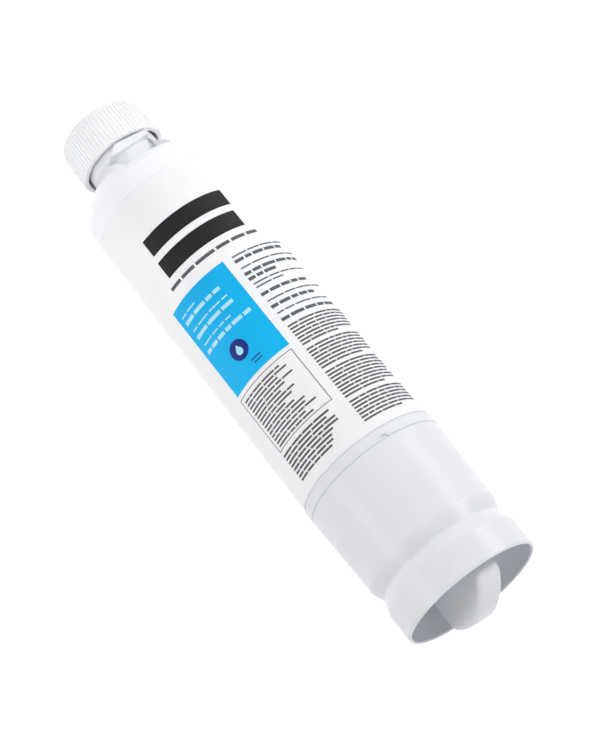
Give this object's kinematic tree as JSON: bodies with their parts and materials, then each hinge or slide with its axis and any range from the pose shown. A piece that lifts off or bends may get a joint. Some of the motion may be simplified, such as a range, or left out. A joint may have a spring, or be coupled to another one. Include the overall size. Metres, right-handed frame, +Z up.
{
  "type": "refrigerator water filter cartridge",
  "caption": "White cylindrical refrigerator water filter cartridge with a quarter-turn bayonet neck, ribbed dust cap, wrap label and a cupped base with a turning grip.",
  "frame": {"origin": "centre of the dust cap's flat top, which the cartridge stands on", "axes": "+Z up along the cartridge's axis towards the grip, +Y along the grip"},
  "size_m": [0.0572, 0.0572, 0.2427],
  "materials": {
    "white_moulding": "satin gloss",
    "cap_plastic": "satin gloss",
    "label_film": "printed film",
    "seal_rubber": "matt",
    "carbon": "bonded carbon",
    "nonwoven": "nonwoven",
    "netting": "net",
    "end_cap_plastic": "matt"
  },
  "bodies": {
    "cap": {"dust_cap": "cap_plastic"},
    "cartridge": {"housing": "white_moulding", "base_cap": "white_moulding", "label": "label_film", "nozzle_o_ring": "seal_rubber", "tip_o_ring": "seal_rubber", "spigot_o_ring": "seal_rubber", "carbon_block": "carbon", "prefilter_wrap": "nonwoven", "wrap_net": "netting", "upper_end_cap": "end_cap_plastic", "lower_end_cap": "end_cap_plastic"}
  },
  "joints": [
    {"name": "cap_pull", "type": "slide", "parent": "cap", "child": "cartridge", "axis": [0, 0, 1], "range_m": [0, 0.045]}
  ]
}
